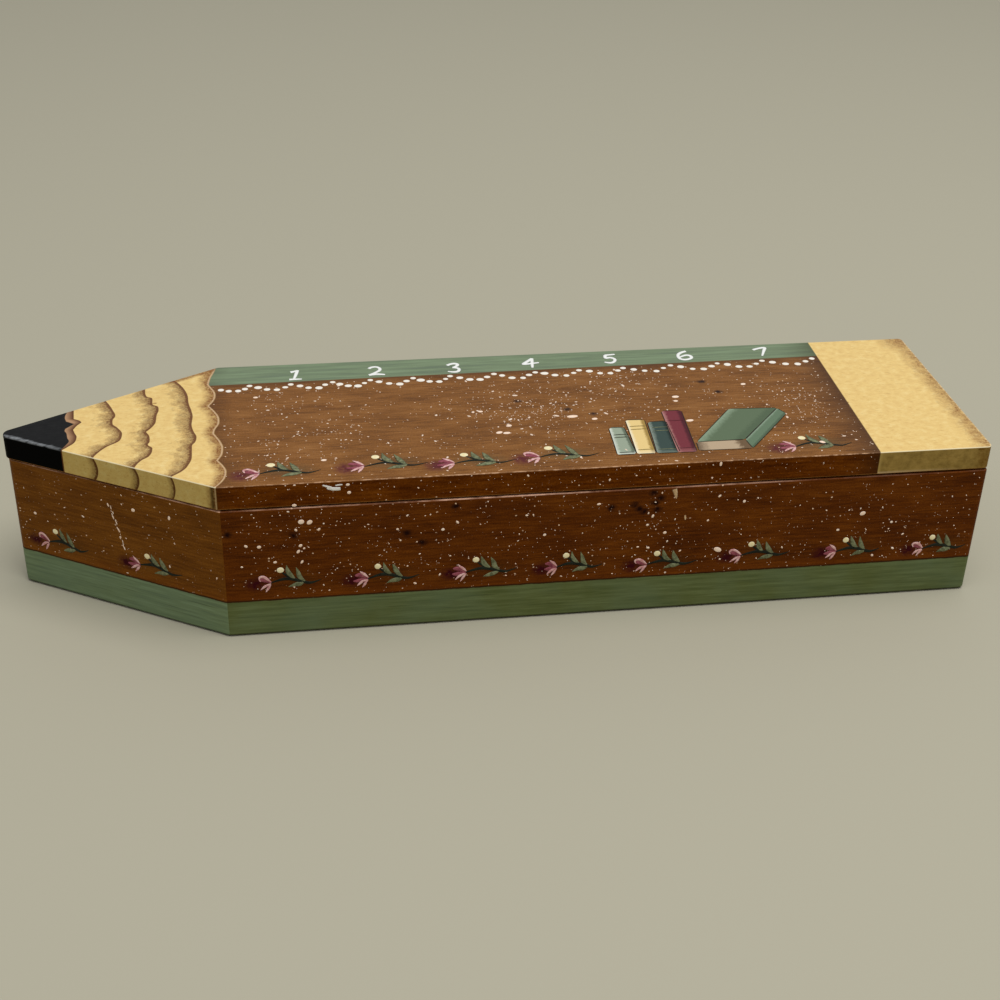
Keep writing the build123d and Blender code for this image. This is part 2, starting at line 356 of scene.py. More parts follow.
SINGED_EDGE = (
    (13.0, -126.9), (7.0, -126.4, True), (5.7, -124.6), (4.6, -123.9, True), (2.6, -125.1),
    (0.1, -126.0, True), (-2.0, -125.4), (-4.7, -124.6), (-7.7, -124.9), (-10.0, -126.4), (-13.0, -129.0),
)
SIDE_BULGE = 1.4              # how far the lines bow towards the square end halfway down the lid's edge

# Dark spots in the stain, along and up their faces
DARK_SPOTS = {
    "lid_top": ((22.4, -1.7), (29.9, -5.5), (7.9, 5.1), (72.3, 5.2), (68.6, 12.6)),
    "front": (
        (-81.9, 35.6), (-63.1, 34.2), (-30.7, 32.8), (-26.1, 29.3), (-16.5, 41.0), (29.6, 37.4), (36.5, 38.0),
        (39.2, 35.6), (37.9, 36.6), (42.5, 38.3), (43.5, 36.1), (41.9, 41.7), (44.2, 39.9),
    ),
}


def lid_paint():
    """Acrylic paint over stained basswood, with satin varnish: soft brush streaks and hand-drawn edges."""
    material, tree, shader = new_material("acrylic_on_stained_basswood")
    here = on_face(tree, "lid_top")
    along, across, up = add(tree, SPLIT, (here,)).outputs
    wobble = add(tree, NOISE, {"Vector": here, "Scale": 0.32, "Detail": 5.0, "Roughness": 0.7})

    # Down the lid's edge the painted lines bow, and the fields are painted darker than on top: painted shade
    # on the upright edge
    down = add(tree, MATH, (up, 2 / LID_THICKNESS, 1.0), operation="MULTIPLY_ADD")
    squared = add(tree, MATH, (down, down), operation="MULTIPLY")
    bow = add(tree, MATH, (squared, SIDE_BULGE, -SIDE_BULGE), operation="MULTIPLY_ADD")
    bowed = add(tree, MATH, (along, bow), operation="ADD")
    side = add(tree, RANGE, (up, -0.15, -0.45))
    under = add(tree, RANGE, (up, 0.4 - LID_THICKNESS, 0.15 - LID_THICKNESS))

    # Places past each edge of the painted fields
    end_edge = add(tree, MATH, (across, END_SLOPE, END_LINE), operation="MULTIPLY_ADD")
    past_end = add(tree, MATH, (along, end_edge), operation="SUBTRACT")
    band_edge = add(tree, MATH, (along, BAND_SLOPE, BAND_MIDDLE), operation="MULTIPLY_ADD")
    past_band = add(tree, MATH, (across, band_edge), operation="SUBTRACT")
    past_scallop = past_line(tree, along, across, SCALLOPS)
    past_black = past_line(tree, along, across, BLACK_EDGE)
    past_singed = past_line(tree, along, across, SINGED_EDGE)

    # Stained ground, darker where it meets the painted fields, with a pale line along its top edge: partly
    # wear and partly painted highlight
    tone, lines = stain(tree, here, LID_STAIN)
    # The edge takes the walls' darker stain: painted shade
    shaded_side_tone, _ = stain(tree, here, SHADED_FRONT_STAIN)
    ground = over(tree, tone, shaded_side_tone, side)
    near_end = add(tree, RANGE, (past_end, -14.0, 0.0))
    near_end = add(tree, MATH, (near_end, 1.7), operation="POWER")
    near_nose = add(tree, RANGE, (past_scallop, 5.0, 0.0, 0.0, 0.4))
    near_band = add(tree, RANGE, (past_band, -3.8, 0.0, 0.0, 0.5))
    shade = add(tree, MATH, (near_end, near_nose), operation="MAXIMUM")
    shade = add(tree, MATH, (shade, 0.75), operation="MULTIPLY")
    shade_ground = add(tree, MATH, (shade, near_band), operation="MAXIMUM")
    ground = over(tree, ground, "#38200e", shade_ground)
    plum = beside_sprigs(tree, here, "lid_top", (-4.8, -0.6), (5.0, 4.4))
    ground = over(tree, ground, "#5b1f22", plum)
    dusk = beside_sprigs(tree, here, "lid_top", (8.5, 1.5), (10.5, 4.6))
    ground = over(tree, ground, "#504a30", dusk, 0.45)
    ground, drops = spotted(tree, here, ground, "lid_top")
    # Pale line along the top edge, broken in places: wear and painted highlight
    top_edge = near_line(tree, up, -0.2, 0.06, 0.18)
    broken_up = streaks(tree, here, length=1.6, width=0.8)
    broken_up = add(tree, RANGE, (broken_up, 0.45, 0.65, 0.1, 0.9))
    ground = over(tree, ground, "#e2b48c", top_edge, broken_up)

    # Green band, brushed along the lid
    brushed = streaks(tree, here, length=24.0, width=1.6)
    green = add(tree, RAMP, {"Fac": brushed}, stops=LID_GREENS)
    green = over(tree, green, "#4c5238", shade)
    smudge = flung_drops(tree, here, spacing=9.0, largest=1.2, share=0.3, length=2.4)
    green = over(tree, green, "#5d5f3f", smudge, 0.25)
    in_band = add(tree, RANGE, (past_band, -0.15, 0.15))
    ground = over(tree, ground, green, in_band)

    # Cream ground with its small dark flecks of grain
    mottle = add(tree, NOISE, {"Vector": here, "Scale": 0.4, "Detail": 7.0, "Roughness": 0.65})
    cream = add(tree, RAMP, {"Fac": mottle}, stops=CREAMS)
    grain = streaks(tree, here, length=2.6, width=0.5)
    grain = add(tree, RANGE, (grain, 0.56, 0.76, 0.0, 0.6))
    cream = over(tree, cream, "#b07c30", grain)
    grain_flecks = flung_drops(tree, here, spacing=3.4, largest=0.45, share=0.3, length=3.0)
    cream = over(tree, cream, BURNT, grain_flecks, 0.7)

    # Shaved wood of the nose: brown shading left of each line, darkest against it
    reach = add(tree, MATH, (wobble, 18.0, -3.6), operation="MULTIPLY_ADD")
    reach = add(tree, MIX, {"Factor": side, "A": reach, "B": 3.2})
    rough = add(tree, NOISE, {"Vector": here, "Scale": 1.5, "Detail": 4.0, "Roughness": 0.8})
    rough = add(tree, RANGE, (rough, 0.3, 0.7, 0.35, 1.35))
    shaved = None
    for drawn in SHAVINGS:
        curve = add(tree, CURVE, {"Value": across}, line=drawn)
        left = add(tree, MATH, (curve, bowed), operation="SUBTRACT")
        edge = add(tree, RANGE, (left, -0.1, 0.12))
        fade = add(tree, RANGE, (left, reach, 0.0))
        line = add(tree, RANGE, (left, 1.0, 0.1, 0.0, 0.5))
        fade = add(tree, MATH, (fade, rough, line), operation="MULTIPLY_ADD")
        one = add(tree, MATH, (fade, edge), operation="MULTIPLY")
        shaved = add(tree, MATH, (shaved, one), operation="MAXIMUM") if shaved else one
    shaved = add(tree, MATH, (shaved, 0.92), operation="MINIMUM")
    cream = over(tree, cream, "#602b0c", shaved)

    # Scallops: browned towards their edge, with a thin pale line just inside it
    in_nose = add(tree, RANGE, (past_scallop, 0.12, -0.12))
    lobe = add(tree, RANGE, (past_scallop, -5.0, -0.4))
    lobe = add(tree, MATH, (lobe, wobble), operation="MULTIPLY")
    lobe = add(tree, RANGE, (lobe, 0.1, 0.42, 0.0, 0.9))
    cream = over(tree, cream, BURNT, lobe, rough, in_nose)
    rim_line = near_line(tree, past_scallop, -0.3, 0.12, 0.32, strength=0.6)
    cream = over(tree, cream, "#e6c6a0", rim_line)

    # Burnt shading along the nose's back edge and at the square end
    sine, cosine = math.sin(lid_nose_angle), math.cos(lid_nose_angle)
    facet_line = LID_HALF * cosine - shoulder * sine
    from_back, from_front = (
        add(tree, VECTOR_MATH, (here, (-sine, across_it, 0)), operation="DOT_PRODUCT").outputs["Value"]
        for across_it in (cosine, -cosine)
    )
    back_edge = add(tree, RANGE, (from_back, facet_line - 3.0, facet_line))
    from_shaving = add(tree, RANGE, (along, -104.0, -96.0, 0.0, 1.6))
    back_edge = add(tree, MATH, (back_edge, from_shaving), operation="MULTIPLY")
    square_end = add(tree, RANGE, (along, ZERO_TO_END - 10.0, ZERO_TO_END))
    burnt = add(tree, MATH, (back_edge, square_end), operation="MAXIMUM")
    burnt = add(tree, MATH, (burnt, wobble), operation="MULTIPLY")
    burnt = add(tree, RANGE, (burnt, 0.18, 0.5, 0.0, 0.8))
    back_corner = patches(tree, here, [(ZERO_TO_END - 1.0, LID_HALF - 1.0)], (10.0, 13.0))
    back_corner = add(tree, MATH, (back_corner, 0.8), operation="MULTIPLY")
    burnt = add(tree, MATH, (burnt, back_corner), operation="MAXIMUM")
    burnt = add(tree, MATH, (burnt, rough), operation="MULTIPLY")
    burnt = add(tree, MATH, (burnt, 0.9), operation="MINIMUM")
    cream = over(tree, cream, BURNT, burnt)
    # Pale line along the square end's top edge: partly wear and partly painted highlight
    bright_end = add(tree, RANGE, (along, ZERO_TO_END - 0.8, ZERO_TO_END - 0.4))
    cream = over(tree, cream, "#f8dfae", bright_end, broken_up)

    # The cream's edge face: painted shade, olive brown at the square end, bare at its foot, and pale along
    # its top from wear and painted highlight
    edge_shade_tint = over(tree, "#ffffff", "#d4d4c4", side)
    edge_shaded = {"Factor": 1.0, "A": cream, "B": edge_shade_tint}
    cream = add(tree, MIX, edge_shaded, data_type="RGBA", blend_type="MULTIPLY")
    in_end = add(tree, RANGE, (past_end, -0.15, 0.15))
    end_side = add(tree, RANGE, (past_end, -1.0, 1.0))
    olive = add(tree, RANGE, (mottle, 0.35, 0.65, 0.45, 0.8))
    cream = over(tree, cream, "#644606", end_side, side, olive)
    corner = near_line(tree, past_scallop, -1.5, 0.2, 1.2, strength=0.75)
    cream = over(tree, cream, "#3f2c10", corner, side)
    foot = add(tree, RANGE, (up, 1.1 - LID_THICKNESS, 0.5 - LID_THICKNESS))
    bare = add(tree, RANGE, (past_end, 28.0, 6.0, 0.0, 0.6))
    cream = over(tree, cream, "#c9ad86", bare, foot, in_end)
    cream = over(tree, cream, "#fff2cc", top_edge, 0.8)
    in_cream = add(tree, MATH, (in_nose, in_end), operation="MAXIMUM")
    ground = over(tree, ground, cream, in_cream)

    # Black point, with a singed border and a pale grey front edge: partly wear and partly painted highlight
    singed_tone = add(tree, RANGE, (past_singed, -2.4, -0.2))
    singed = over(tree, "#b98f68", "#5c3114", singed_tone)
    in_singed = add(tree, RANGE, (past_singed, 0.1, -0.1))
    ground = over(tree, ground, singed, in_singed)
    worn_and_glinting = add(tree, RANGE, (from_front, facet_line - 2.8, facet_line - 0.6))
    scratch_and_glint_streaks = streaks(tree, here, length=3.5, width=1.3)
    worn_and_glinting = add(tree, MATH, (worn_and_glinting, scratch_and_glint_streaks), operation="MULTIPLY")
    worn_and_glinting = add(tree, RANGE, (worn_and_glinting, 0.36, 0.56, 0.0, 0.9))
    near_tip = add(tree, RANGE, (along, -127.0, -136.0, 0.3))
    on_top = add(tree, RANGE, (up, -0.6, -0.2))
    black = over(tree, "#020202", "#8b8e90", worn_and_glinting, near_tip, on_top)
    in_black = add(tree, RANGE, (past_black, 0.1, -0.1))
    ground = over(tree, ground, black, in_black)

    # Plain thin stain underneath, then the varnish over all of it
    plain, _ = stain(tree, here, INNER_STAIN)
    ground = over(tree, ground, plain, under)
    gloss = add(tree, RANGE, (mottle, 0.3, 0.7, 0.38, 0.52))
    sheen = add(tree, RANGE, (side, 0.0, 1.0, 0.2, 0.02))
    raised = add(tree, MATH, (drops, 0.6, lines), operation="MULTIPLY_ADD")
    look = {"Base Color": ground, "Roughness": gloss, "Specular IOR Level": sheen}
    surface(tree, shader, look, raised, 0.04)
    return material


def wall_paint(name, face, shades, greens, hollow=True):
    """Brown stain over a green band on basswood, with satin varnish, and plain stain on the inside."""
    material, tree, shader = new_material(name)
    here = on_face(tree, face)
    along, height, outwards = add(tree, SPLIT, (here,)).outputs
    wobble = add(tree, NOISE, {"Vector": here, "Scale": 0.25, "Detail": 4.0, "Roughness": 0.7})
    tone, lines = stain(tree, here, shades)

    # Warmer just above the band, then the painted sprigs' soft grounds
    low = add(tree, RANGE, (height, WALL_BAND + 6.0, WALL_BAND))
    low = add(tree, MATH, (low, wobble), operation="MULTIPLY")
    low = add(tree, RANGE, (low, 0.15, 0.8, 0.0, 0.5))
    ground = over(tree, tone, "#84430c", low)
    dusk = beside_sprigs(tree, here, face, (7.5, 1.0), (9.5, 4.4))
    ground = over(tree, ground, "#34260e", dusk, 0.3)
    plum = beside_sprigs(tree, here, face, (-4.4, -0.2), (4.4, 3.1))
    ground = over(tree, ground, "#3a0610", plum)
    ground, drops = spotted(tree, here, ground, face)

    # Rim pale from wear against the lid, with a painted highlight along its rounded edge, both most of all
    # halfway along
    rim = add(tree, RANGE, (height, WALL_TOP - 0.24, WALL_TOP - 0.1))
    rub_and_glint = streaks(tree, here, length=3.0, width=1.5)
    rub_and_glint_parts = add(tree, NOISE, {"Vector": here, "Scale": 0.03, "Detail": 1.0})
    rub_and_glint = add(tree, MIX, {"Factor": 0.6, "A": rub_and_glint, "B": rub_and_glint_parts})
    rub_and_glint = add(tree, RANGE, (rub_and_glint, 0.43, 0.58, 0.12))
    outer = add(tree, RANGE, (outwards, -1.2, -0.5))
    from_middle = add(tree, MATH, (along,), operation="ABSOLUTE")
    strongest_halfway = add(tree, RANGE, (from_middle, 95.0, 40.0, 0.1, 0.8))
    ground = over(tree, ground, "#f2c4a6", rim, rub_and_glint, outer, strongest_halfway)

    # Green band under a dark line, the wall darker towards its foot, with the wood's grain showing as fine
    # dark lines
    brushed = streaks(tree, here, length=18.0, width=1.2)
    green = add(tree, RAMP, {"Fac": brushed}, stops=greens)
    pores = streaks(tree, here, length=30.0, width=0.6)
    pores = add(tree, RANGE, (pores, 0.58, 0.7, 0.0, 0.45))
    green = over(tree, green, "#33351d", pores)
    haze = add(tree, NOISE, {"Vector": here, "Scale": 0.04, "Detail": 3.0})
    haze = add(tree, RANGE, (haze, 0.4, 0.7, 0.0, 0.3))
    green = over(tree, green, HAZY_GREEN, haze)
    waver = add(tree, MATH, (wobble, 0.7, WALL_BAND - 0.35), operation="MULTIPLY_ADD")
    over_band = add(tree, MATH, (height, waver), operation="SUBTRACT")
    in_band = add(tree, RANGE, (over_band, 0.1, -0.1))
    ground = over(tree, ground, green, in_band)
    top_line = near_line(tree, over_band, 0.2, 0.1, 0.45, strength=0.8)
    foot_line = add(tree, RANGE, (height, 1.1, 0.5, 0.0, 0.85))
    dark_lines = add(tree, MATH, (top_line, foot_line), operation="MAXIMUM")
    ground = over(tree, ground, "#1c1206", dark_lines)

    # Plain thin stain on the inside
    if hollow:
        plain, _ = stain(tree, here, INNER_STAIN)
        inside = add(tree, RANGE, (outwards, 1.2 - WALL_THICKNESS, 0.8 - WALL_THICKNESS))
        from_zero = add(tree, SPLIT, (on_face(tree, "lid_top"),)).outputs[0]
        inner_end = box_end - zero - WALL_THICKNESS
        before_end = add(tree, RANGE, (from_zero, inner_end + 0.4, inner_end + 0.2))
        below_rim = add(tree, RANGE, (height, WALL_TOP - 0.2, WALL_TOP - 0.4))
        ground = over(tree, ground, plain, inside, before_end, below_rim)
    gloss = add(tree, RANGE, (wobble, 0.3, 0.7, 0.36, 0.5))
    raised = add(tree, MATH, (drops, 0.6, lines), operation="MULTIPLY_ADD")
    look = {"Base Color": ground, "Roughness": gloss, "Specular IOR Level": 0.05}
    surface(tree, shader, look, raised, 0.05)
    return material


def bare_plywood():
    """Thin birch plywood, sanded and oiled: pale, with long darker streaks and small pores."""
    material, tree, shader = new_material("sanded_birch_plywood")
    here = on_face(tree, "lid_top")
    bands = streaks(tree, here, length=60.0, width=5.0)
    tone = add(tree, RAMP, {"Fac": bands}, stops=((0.32, "#a57a48"), (0.5, "#bd9260"), (0.68, "#cfa878")))
    pores = streaks(tree, here, length=6.0, width=0.35)
    pores = add(tree, RANGE, (pores, 0.6, 0.74, 0.0, 0.5))
    wood = over(tree, tone, "#7c5630", pores)
    surface(tree, shader, {"Base Color": wood, "Roughness": 0.6}, pores, 0.05)
    return material


def stamped_brass():
    """Stamped brass of small box hinges: yellow metal dulled in clouds, with fine rolling marks."""
    material, tree, shader = new_material("stamped_brass")
    here = on_face(tree, "lid_top")
    clouds = add(tree, NOISE, {"Vector": here, "Scale": 0.3, "Detail": 4.0})
    tone = add(tree, RAMP, {"Fac": clouds}, stops=((0.35, "#8f6f36"), (0.5, "#b08f4c"), (0.65, "#c9a962")))
    rolled = streaks(tree, here, length=8.0, width=0.12)
    gloss = add(tree, RANGE, (rolled, 0.3, 0.7, 0.26, 0.46))
    surface(tree, shader, {"Base Color": tone, "Metallic": 1.0, "Roughness": gloss}, rolled, 0.01)
    return material


def drawn_steel():
    """Drawn steel wire of brads and hinge pins: grey metal with fine marks and a little dulling."""
    material, tree, shader = new_material("drawn_steel_wire")
    here = on_face(tree, "lid_top")
    clouds = add(tree, NOISE, {"Vector": here, "Scale": 1.2, "Detail": 3.0})
    tone = add(tree, RAMP, {"Fac": clouds}, stops=((0.35, "#77746e"), (0.65, "#a9a69f")))
    gloss = add(tree, RANGE, (clouds, 0.3, 0.7, 0.32, 0.5))
    surface(tree, shader, {"Base Color": tone, "Metallic": 1.0, "Roughness": gloss})
    return material


def brush_paint(name, dark, light, roughness):
    """Thick acrylic from a small brush: satin, its colour uneven along the stroke."""
    material, tree, shader = new_material(name)
    here = on_face(tree, "lid_top")
    uneven = add(tree, NOISE, {"Vector": here, "Scale": 0.9, "Detail": 3.0, "Roughness": 0.7})
    tone = add(tree, RAMP, {"Fac": uneven}, stops=((0.34, dark), (0.66, light)))
    look = {"Base Color": tone, "Roughness": roughness, "Specular IOR Level": 0.15}
    surface(tree, shader, look, uneven, 0.03)
    return material


def spine_paint(name, pale, middle, dark, foot=0.0):
    """Acrylic blended across a painted book: pale at its left edge, dark at its right, by its UV map."""
    material, tree, shader = new_material(name)
    across = add(tree, "ShaderNodeUVMap", uv_map="across")
    from_left, from_foot, _ = add(tree, SPLIT, (across,)).outputs
    here = on_face(tree, "lid_top")
    uneven = add(tree, NOISE, {"Vector": here, "Scale": 0.9, "Detail": 5.0, "Roughness": 0.7})
    moved = add(tree, MATH, (uneven, 0.3, from_left), operation="MULTIPLY_ADD")
    stops = ((0.17, pale), (0.38, middle), (0.88, middle), (1.0, dark))
    tone = add(tree, RAMP, {"Fac": moved}, stops=stops)
    low = add(tree, RANGE, (from_foot, 0.12, 0.0, 0.0, foot))
    tone = over(tree, tone, pale, low)
    look = {"Base Color": tone, "Roughness": 0.48, "Specular IOR Level": 0.15}
    surface(tree, shader, look, uneven, 0.03)
    return material


# Brushwork: marks lying on the faces, gathered by paint and body, then by face and kind

MARK_KINDS = {
    # kind: type of line, sections between its points, roundness of a section
    "stroke": ("NURBS", 4, 1),
    "blob": ("POLY", 1, 2),
    "speck": ("POLY", 1, 0),
}
FLATNESS = 0.12               # thickness of a mark as a share of its width
marks = {}


def stroke(paint, face, points, half_widths, lift, kind="stroke"):
    """One stroke of a small round brush, or a mark of another kind.

    It has its points on the face, its half width at each, and how far its middle stands out.
    """
    gathered = marks.setdefault((paint, FACES[face][0]), {})
    gathered.setdefault((face, kind), []).append((points, half_widths, lift))


def drop(paint, face, u, v, radius, stretch=1.0, turn=0.0, kind="speck"):
    """One drop of paint, longer than it is wide by its stretch."""
    steps = 4 if kind == "speck" else 8
    points, half_widths = [], []
    for i in range(steps + 1):
        angle = math.pi * (0.06 + 0.88 * i / steps)
        reach = radius * stretch * math.cos(angle)
        points.append((u + reach * math.cos(turn), v + reach * math.sin(turn)))
        half_widths.append(radius * math.sin(angle))
    stroke(paint, face, points, half_widths, 0.0, kind)


def marks_mesh(rows, face, kind):
    """Marks of one kind on one face as a mesh in place: round sections along a line, pressed flat."""
    line, sections, roundness = MARK_KINDS[kind]
    data = bpy.data.curves.new("marks", "CURVE")
    data.dimensions = "3D"
    data.bevel_depth = 1.0
    data.bevel_resolution = roundness
    data.use_fill_caps = True
    data.resolution_u = sections
    for points, half_widths, lift in rows:
        spline = data.splines.new(line)
        spline.points.add(len(points) - 1)
        for point, (u, v), half_width in zip(spline.points, points, half_widths):
            point.co = (u, v, lift / FLATNESS, 1)
            point.radius = half_width
        if line == "NURBS":
            spline.order_u = 3
            spline.use_endpoint_u = True
    carrier = bpy.data.objects.new("marks", data)
    mesh = bpy.data.meshes.new_from_object(carrier)
    bpy.data.objects.remove(carrier)
    bpy.data.curves.remove(data)
    mesh.transform(FACES[face][1] @ Matrix.Diagonal((1, 1, FLATNESS, 1)))
    return mesh


def save_piece(name, bm, body, materials):
    """Makes a piece of the object from a bmesh whose vertices are already in place."""
    bmesh.ops.recalc_face_normals(bm, faces=bm.faces)
    mesh = bpy.data.meshes.new(name)
    bm.to_mesh(mesh)
    bm.free()
    for material in materials:
        mesh.materials.append(material)
    piece = bpy.data.objects.new(name, mesh)
    bpy.context.scene.collection.objects.link(piece)
    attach(piece, body)


def lay_marks(paints):
    """Turns the gathered marks into one piece for each paint and body."""
    for (paint, body), gathered in marks.items():
        bm = bmesh.new()
        for (face, kind), rows in gathered.items():
            mesh = marks_mesh(rows, face, kind)
            bm.from_mesh(mesh)
            bpy.data.meshes.remove(mesh)
        for polygon in bm.faces:
            polygon.smooth = True
        save_piece(f"{body}_{paint}", bm, body, [paints[paint]])


# Sprigs, drawn about the place where the petals meet the stem

def placed(points, u, v, scale=(1.0, 1.0)):
    """Points of a drawing, scaled about its origin and carried to (u, v)."""
    return [(u + x * scale[0], v + y * scale[1]) for x, y in points]


def nudged(points, chance, amount):
    """The same points as a hand would place them: each a little off."""
    return [(x + chance.uniform(-amount, amount), y + chance.uniform(-amount, amount)) for x, y in points]


STEM = ((0.0, 0.0), (2.8, 1.1), (5.6, 1.5), (8.6, 0.5), (11.0, -0.5), (12.8, -0.6), (15.4, 0.5))
STEM_HALF_WIDTHS = (0.2, 0.42, 0.6, 0.55, 0.5, 0.34, 0.1)
BRANCH = ((3.6, 3.5), (4.8, 2.3), (6.8, 1.2))
BRANCH_HALF_WIDTHS = (0.2, 0.5, 0.4)
BERRY = (3.1, 4.3)
LEAVES = (
    ((7.2, 1.2), (5.9, 2.2), (5.2, 3.9), (4.8, 5.8)),
    ((10.1, 0.2), (8.9, 1.3), (8.3, 3.2), (7.7, 5.2)),
    ((10.4, -0.1), (9.0, -0.9), (7.2, -1.0), (5.5, -1.9)),
)
LEAF_HALF_WIDTHS = (0.3, 0.95, 0.8, 0.07)
# petals: paint, points, half width at each, and how far it stands out
LOWER_PETALS = (
    ("pink_petals", ((0.1, -0.2), (-1.0, -0.5), (-2.2, -1.3), (-3.2, -2.2)), (0.15, 0.42, 0.48, 0.12), 0.08),
    ("pink_petals", ((0.1, -0.4), (-0.5, -1.1), (-1.0, -2.0), (-1.6, -2.9)), (0.12, 0.4, 0.45, 0.1), 0.085),
)
OPEN_BUD = (
    ("rose_petals", ((0.1, 0.2), (-1.2, 1.1), (-2.6, 1.7), (-3.7, 1.5)), (0.3, 0.8, 0.85, 0.25), 0.0),
    ("rose_petals", ((0.1, 0.0), (-1.5, -0.2), (-3.0, -0.6), (-4.1, -0.4)), (0.3, 0.75, 0.7, 0.2), 0.01),
    ("pink_petals", ((0.2, 0.4), (-0.6, 1.5), (-1.6, 2.3), (-2.3, 3.0)), (0.12, 0.42, 0.42, 0.1), 0.08),
    *LOWER_PETALS,
)
FURLED_BUD = (
    ("rose_petals", ((0.1, 0.1), (-1.3, 1.0), (-2.6, 1.4), (-3.4, 0.9)), (0.3, 0.9, 0.95, 0.3), 0.0),
    ("pink_petals", ((0.2, 0.3), (-1.0, 1.7), (-2.5, 2.6), (-3.8, 1.9), (-3.2, 0.8)),
     (0.2, 0.45, 0.45, 0.36, 0.1), 0.08),
    *LOWER_PETALS,
)


def sprig(face, u, v, scale, chance):
    """A bud with its petals, a wavy stem, a berry on a short branch and three comma leaves."""
    size = (scale * chance.uniform(0.94, 1.06), scale * chance.uniform(0.9, 1.08))
    stroke("stems", face, placed(nudged(STEM, chance, 0.2), u, v, size), STEM_HALF_WIDTHS, 0.02)
    branch = placed(nudged(BRANCH, chance, 0.12), u, v, size)
    stroke("stems", face, branch, BRANCH_HALF_WIDTHS, 0.025)
    for leaf in LEAVES:
        points = placed(nudged(leaf, chance, 0.25), u, v, size)
        wide = [w * scale * chance.uniform(0.8, 1.1) for w in LEAF_HALF_WIDTHS]
        stroke("leaves", face, points, wide, 0.03)
    berry_u, berry_v = placed([BERRY], u, v, size)[0]
    drop("berries", face, berry_u, berry_v, 1.0 * scale, stretch=chance.uniform(0.95, 1.1), kind="blob")
    for paint, petal, half_widths, lift in chance.choice((OPEN_BUD, FURLED_BUD)):
        points = placed(nudged(petal, chance, 0.15), u, v, size)
        stroke(paint, face, points, [w * scale * chance.uniform(0.9, 1.1) for w in half_widths], lift)


SPRIG_SCALES = {"lid": 1.2, "box": 0.96}

hand = random.Random(4)
for face, places in SPRIGS.items():
    for u, v in places:
        sprig(face, u, v, SPRIG_SCALES[FACES[face][0]], hand)


# Numerals of the ruler, drawn about their own middle

NUMERALS = (
    # middle of each numeral along the lid, and its strokes
    (-59.8, (((-1.6, 1.2), (-0.2, 1.5), (1.0, 2.4)), ((1.0, 2.4), (0.3, -1.0), (-0.5, -4.0)),
             ((-2.2, -4.3), (0.1, -4.2), (2.4, -4.3)))),
    (-34.0, (((-2.6, 1.3), (-1.7, 2.4), (0.6, 2.6), (1.9, 0.6), (0.4, -1.6), (-2.9, -3.5)),
             ((-2.9, -3.5), (-1.0, -3.0), (1.2, -3.2), (3.1, -3.7)))),
    (-9.4, (((-1.8, 1.2), (0.3, 2.8), (2.5, 1.9), (1.7, 0.1), (0.1, -0.5)),
            ((0.1, -0.5), (2.4, -0.9), (2.3, -3.4), (0.3, -4.3), (-2.0, -3.4)))),
    (16.5, (((0.9, 3.8), (-1.3, 1.5), (-3.2, -0.2), (-3.0, -0.4), (-0.3, -0.2), (3.0, 0.4)),
            ((0.9, 3.8), (0.3, 0.0), (-0.1, -3.3)))),
    (42.3, (((-0.7, 3.9), (1.4, 4.1), (3.2, 4.3)),
            ((-0.6, 3.9), (-1.5, 1.2), (0.9, 2.2), (2.7, 0.4), (1.5, -1.9), (-0.3, -2.4), (-2.0, -1.5)))),
    (67.9, (((1.4, 4.3), (-1.3, 3.4), (-2.8, 0.8), (-2.3, -2.0), (0.3, -2.4), (2.7, -1.0),
             (2.0, 1.1), (-0.1, 1.2), (-2.2, -0.3)),)),
    (93.9, (((-2.4, 3.1), (-0.2, 4.1), (3.2, 4.8), (1.9, 2.6), (-0.2, -1.9)),)),
)
NUMERAL_MIDDLE = 31.0
NUMERAL_SIZE = (0.86, 0.94)
NUMERAL_HALF_WIDTH = 0.66
LAST_TOUCH = 0.6              # width that is left where the brush lifts off, as a share

for middle, drawn in NUMERALS:
    for points in drawn:
        points = placed(points, middle, NUMERAL_MIDDLE, NUMERAL_SIZE)
        wide = [NUMERAL_HALF_WIDTH * hand.uniform(0.85, 1.1) for _ in points]
        wide[-1] *= LAST_TOUCH
        stroke("numerals", "lid_top", points, wide, 0.04)


# Dotted scallops under the green band

SCALLOP_PEAKS = (-74.0, -61.2, -48.4, -36.2, -22.8, -10.7, 3.2, 16.6, 31.2, 45.8, 61.5, 77.3, 92.4, 109.6)
# dots: share of the way to the next peak, how far below the peak, and radius
SCALLOP_DOTS = ((0.0, 0.0, 0.85), (0.2, 1.4, 1.05), (0.42, 3.0, 0.92), (0.66, 3.4, 1.0), (0.84, 1.7, 0.85))
PEAK_DROP = 1.7               # from the band's edge down to the highest dot
LOOSE_DOTS = ((-83.0, 1.7), (-80.6, 2.7), (-77.7, 2.9), (-75.6, 1.8), (SCALLOP_PEAKS[-1], 0.0))
LOOSE_DOT_RADIUS = 0.95


def band_edge_at(u):
    """How far up the lid the green band starts at this place along it."""
    return BAND_MIDDLE + BAND_SLOPE * u


for peak, following in zip(SCALLOP_PEAKS, SCALLOP_PEAKS[1:]):
    for share, below, radius in SCALLOP_DOTS:
        u = peak + share * (following - peak) + hand.uniform(-0.2, 0.2)
        v = band_edge_at(u) - PEAK_DROP - below + hand.uniform(-0.25, 0.25)
        size = radius * hand.uniform(0.88, 1.12)
        drop("dots", "lid_top", u, v, size, stretch=hand.uniform(1.0, 1.2), kind="blob")
for u, below in LOOSE_DOTS:
    drop("dots", "lid_top", u, band_edge_at(u) - PEAK_DROP - below, LOOSE_DOT_RADIUS, kind="blob")


# Spatter: drops flung over the stained fields, thicker in places

